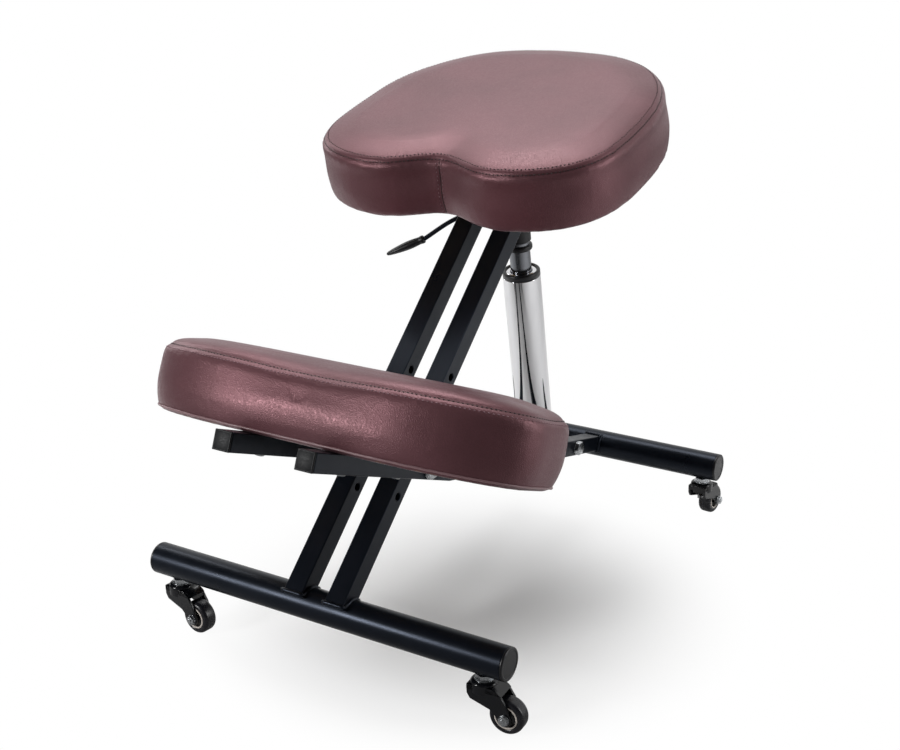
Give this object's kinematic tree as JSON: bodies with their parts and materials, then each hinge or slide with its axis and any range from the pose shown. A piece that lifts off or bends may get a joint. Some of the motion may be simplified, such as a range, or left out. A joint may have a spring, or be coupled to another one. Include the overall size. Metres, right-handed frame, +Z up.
{
  "type": "kneeling chair",
  "caption": "Kneeling chair with a tilted seat and knee pad on crossed steel frames, gas lift height adjustment with a hand lever, and small swivel casters.",
  "frame": {"origin": "middle of the bounding box, on the floor under the wheels", "axes": "+Z up, -Y towards the knee pad (the front), +X to the right seen from the knee pad side"},
  "size_m": [0.5002, 0.7366, 0.6357],
  "materials": {
    "powder_coat": "satin black powder coat",
    "black_plastic": "moulded, satin",
    "plug_plastic": "moulded, matt grey",
    "lever_coat": "black coated rod",
    "chrome": "polished",
    "cylinder_steel": "ground and polished",
    "zinc_steel": "zinc plated",
    "seat_leatherette": "plum brown imitation leather, fine grain",
    "knee_leatherette": "plum brown imitation leather, fine grain",
    "foam": "upholstery foam",
    "plywood": "plain plywood",
    "caster_plastic": "black, glossy",
    "hub_plastic": "moulded, off-white",
    "tyre_rubber": "smooth black tread"
  },
  "bodies": {
    "front_frame": {"front_crossbar": "powder_coat", "front_cap_left": "black_plastic", "front_cap_right": "black_plastic", "seat_bar_left": "powder_coat", "seat_bar_right": "powder_coat", "pivot_bolt_left": "zinc_steel", "pivot_bolt_right": "zinc_steel", "pivot_washer_left": "zinc_steel", "pivot_washer_right": "zinc_steel", "seat_bracket": "powder_coat", "seat_board": "plywood", "seat_foam": "foam", "seat_cover": "seat_leatherette", "seat_screw_front_left": "zinc_steel", "seat_screw_front_right": "zinc_steel", "seat_screw_back_left": "zinc_steel", "seat_screw_back_right": "zinc_steel", "lift_pin": "zinc_steel", "caster_stem_front_left": "zinc_steel", "caster_stem_front_right": "zinc_steel"},
    "rear_frame": {"rear_crossbar": "powder_coat", "rear_cap_left": "black_plastic", "rear_cap_right": "black_plastic", "knee_bar_left": "powder_coat", "knee_bar_right": "powder_coat", "knee_plug_left": "plug_plastic", "knee_plug_right": "plug_plastic", "foot_bolt": "zinc_steel", "knee_board": "plywood", "knee_foam": "foam", "knee_cover": "knee_leatherette", "caster_stem_rear_left": "zinc_steel", "caster_stem_rear_right": "zinc_steel"},
    "lift_column": {"column_tube": "chrome", "column_foot": "powder_coat", "column_bush": "black_plastic", "column_cover_ring": "chrome", "piston_rod": "zinc_steel"},
    "lift_cylinder": {"gas_cylinder": "cylinder_steel", "lift_head": "black_plastic", "lever_pin": "zinc_steel"},
    "valve_button": {"release_button": "zinc_steel"},
    "lever": {"lever_rod": "lever_coat", "lever_paddle": "black_plastic"},
    "caster_front_left": {"caster_fork_front_left": "caster_plastic", "caster_axle_front_left": "zinc_steel"},
    "wheel_front_left": {"caster_hub_front_left": "hub_plastic", "caster_tyre_front_left": "tyre_rubber"},
    "caster_front_right": {"caster_fork_front_right": "caster_plastic", "caster_axle_front_right": "zinc_steel"},
    "wheel_front_right": {"caster_hub_front_right": "hub_plastic", "caster_tyre_front_right": "tyre_rubber"},
    "caster_rear_left": {"caster_fork_rear_left": "caster_plastic", "caster_axle_rear_left": "zinc_steel"},
    "wheel_rear_left": {"caster_hub_rear_left": "hub_plastic", "caster_tyre_rear_left": "tyre_rubber"},
    "caster_rear_right": {"caster_fork_rear_right": "caster_plastic", "caster_axle_rear_right": "zinc_steel"},
    "wheel_rear_right": {"caster_hub_rear_right": "hub_plastic", "caster_tyre_rear_right": "tyre_rubber"}
  },
  "joints": [
    {"name": "frame_fold", "type": "hinge", "parent": "front_frame", "child": "rear_frame", "pos_m": [-0.00911, -0.15013, 0.21348], "axis": [1, 0, 0], "range_deg": [-11.5, 4.1]},
    {"name": "column_tilt", "type": "hinge", "parent": "rear_frame", "child": "lift_column", "pos_m": [-0.00911, 0.23249, 0.10534], "axis": [1, 0, 0], "range_deg": [-2.2, 6]},
    {"name": "gas_lift", "type": "slide", "parent": "lift_column", "child": "lift_cylinder", "axis": [0, -0.184, 0.9829], "range_m": [-0.0255, 0.0705]},
    {"name": "lever_lift", "type": "hinge", "parent": "lift_cylinder", "child": "lever", "pos_m": [-0.01811, 0.16862, 0.44662], "axis": [0, 0.9829, 0.184], "range_deg": [0, 8], "stiffness_Nm_per_rad": 6, "springref_deg": -2.86},
    {"name": "valve_press", "type": "slide", "parent": "lift_cylinder", "child": "valve_button", "axis": [0, 0.184, -0.9829], "range_m": [0, 0.0014]},
    {"name": "swivel_front_left", "type": "hinge", "parent": "front_frame", "child": "caster_front_left", "pos_m": [-0.21912, -0.27694, 0.05], "axis": [0, 0, 1], "continuous": true},
    {"name": "roll_front_left", "type": "hinge", "parent": "caster_front_left", "child": "wheel_front_left", "pos_m": [-0.19027, -0.27998, 0.02], "axis": [0.1045, 0.9945, 0], "continuous": true},
    {"name": "swivel_front_right", "type": "hinge", "parent": "front_frame", "child": "caster_front_right", "pos_m": [0.20089, -0.27694, 0.05], "axis": [0, 0, 1], "continuous": true},
    {"name": "roll_front_right", "type": "hinge", "parent": "caster_front_right", "child": "wheel_front_right", "pos_m": [0.22981, -0.27492, 0.02], "axis": [-0.0698, 0.9976, 0], "continuous": true},
    {"name": "swivel_rear_left", "type": "hinge", "parent": "rear_frame", "child": "caster_rear_left", "pos_m": [-0.22612, 0.31906, 0.05], "axis": [0, 0, 1], "continuous": true},
    {"name": "roll_rear_left", "type": "hinge", "parent": "caster_rear_left", "child": "wheel_rear_left", "pos_m": [-0.21161, 0.34417, 0.02], "axis": [-0.866, 0.5, 0], "continuous": true},
    {"name": "swivel_rear_right", "type": "hinge", "parent": "rear_frame", "child": "caster_rear_right", "pos_m": [0.20788, 0.31906, 0.05], "axis": [0, 0, 1], "continuous": true},
    {"name": "roll_rear_right", "type": "hinge", "parent": "caster_rear_right", "child": "wheel_rear_right", "pos_m": [0.21041, 0.34795, 0.02], "axis": [-0.9962, 0.0872, 0], "continuous": true}
  ],
  "couplings": [
    {"joint": "column_tilt", "follows": "frame_fold", "ratio": -0.51956},
    {"joint": "gas_lift", "follows": "frame_fold", "m_per_rad": -0.34907},
    {"joint": "valve_press", "follows": "lever_lift", "m_per_rad": 0.01}
  ]
}
